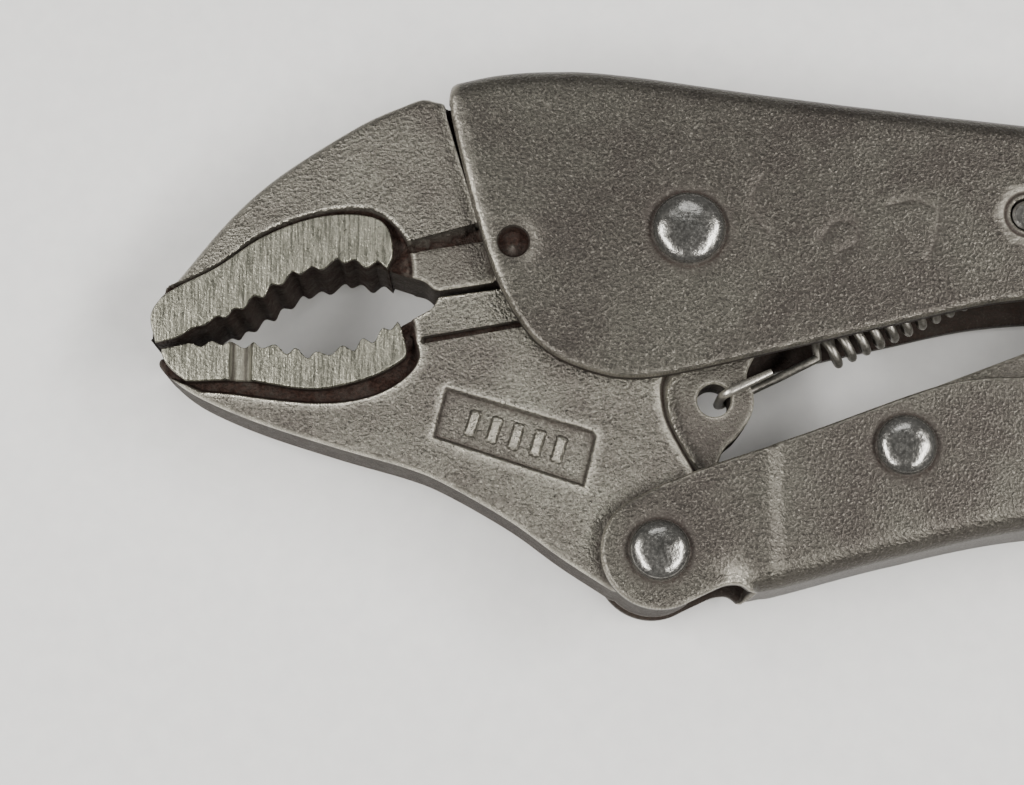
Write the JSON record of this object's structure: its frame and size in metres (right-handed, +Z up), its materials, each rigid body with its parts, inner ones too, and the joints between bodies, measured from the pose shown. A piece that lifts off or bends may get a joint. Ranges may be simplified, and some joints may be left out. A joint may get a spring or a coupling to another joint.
{
  "type": "locking pliers",
  "caption": "Locking pliers with curved toothed jaws, wire cutter, toggle-locked pressed handles, return spring, release lever and knurled adjusting screw.",
  "frame": {"origin": "centre of the footprint, at the level of the surface that the tool lies on", "axes": "+X from the jaws' tip to the adjusting knob, +Y from the lower handle to the upper handle, +Z up through the thickness"},
  "size_m": [0.2512, 0.0668, 0.0218],
  "materials": {
    "pressed_steel": "worn satin, grain of old nickel plate, dark brown-grey",
    "forged_steel": "forged, fine sparkling grain, ground bright on the tooth pads",
    "rivet_steel": "worn satin domes",
    "screw_steel": "satin, oily threads",
    "spring_wire": "dark spring wire"
  },
  "bodies": {
    "upper_handle": {"upper_handle": "pressed_steel", "fixed_jaw": "forged_steel", "main_rivet": "rivet_steel", "spring_anchor_pin": "rivet_steel", "return_spring": "spring_wire"},
    "moving_jaw": {"moving_jaw": "forged_steel", "jaw_rivet": "rivet_steel"},
    "lower_handle": {"lower_handle": "pressed_steel", "link_rivet": "rivet_steel", "lever_pin": "rivet_steel"},
    "toggle_link": {"toggle_link": "forged_steel"},
    "release_lever": {"release_lever": "pressed_steel"},
    "screw_carrier": {"screw_tip": "screw_steel"},
    "screw": {"adjusting_screw": "screw_steel"}
  },
  "joints": [
    {"name": "jaw_pivot", "type": "hinge", "parent": "upper_handle", "child": "moving_jaw", "pos_m": [-0.06031, 0.01247, 0.0109], "axis": [0, 0, 1], "range_deg": [0, 20], "deforming": ["return_spring"]},
    {"name": "handle_pivot", "type": "hinge", "parent": "moving_jaw", "child": "lower_handle", "pos_m": [-0.06441, -0.02653, 0.0109], "axis": [0, 0, 1], "range_deg": [-63.7, 0]},
    {"name": "link_joint", "type": "hinge", "parent": "lower_handle", "child": "toggle_link", "pos_m": [-0.03521, -0.01423, 0.0109], "axis": [0, 0, 1], "range_deg": [0, 68.9]},
    {"name": "lever_joint", "type": "hinge", "parent": "lower_handle", "child": "release_lever", "pos_m": [0.02169, -0.01413, 0.0109], "axis": [0, 0, 1], "range_deg": [-4.5, 1.5]},
    {"name": "screw_travel", "type": "slide", "parent": "upper_handle", "child": "screw_carrier", "axis": [0.9968, -0.0802, 0], "range_m": [0, 0.024]},
    {"name": "screw_turn", "type": "hinge", "parent": "screw_carrier", "child": "screw", "pos_m": [0.02569, 0.01077, 0.0109], "axis": [0.9968, -0.0802, 0], "range_deg": [0, 5401]}
  ],
  "couplings": [
    {"joint": "handle_pivot", "follows": "jaw_pivot", "ratio": -3.18},
    {"joint": "link_joint", "follows": "jaw_pivot", "ratio": 3.44},
    {"joint": "screw_turn", "follows": "screw_travel", "rad_per_m": 3927}
  ]
}
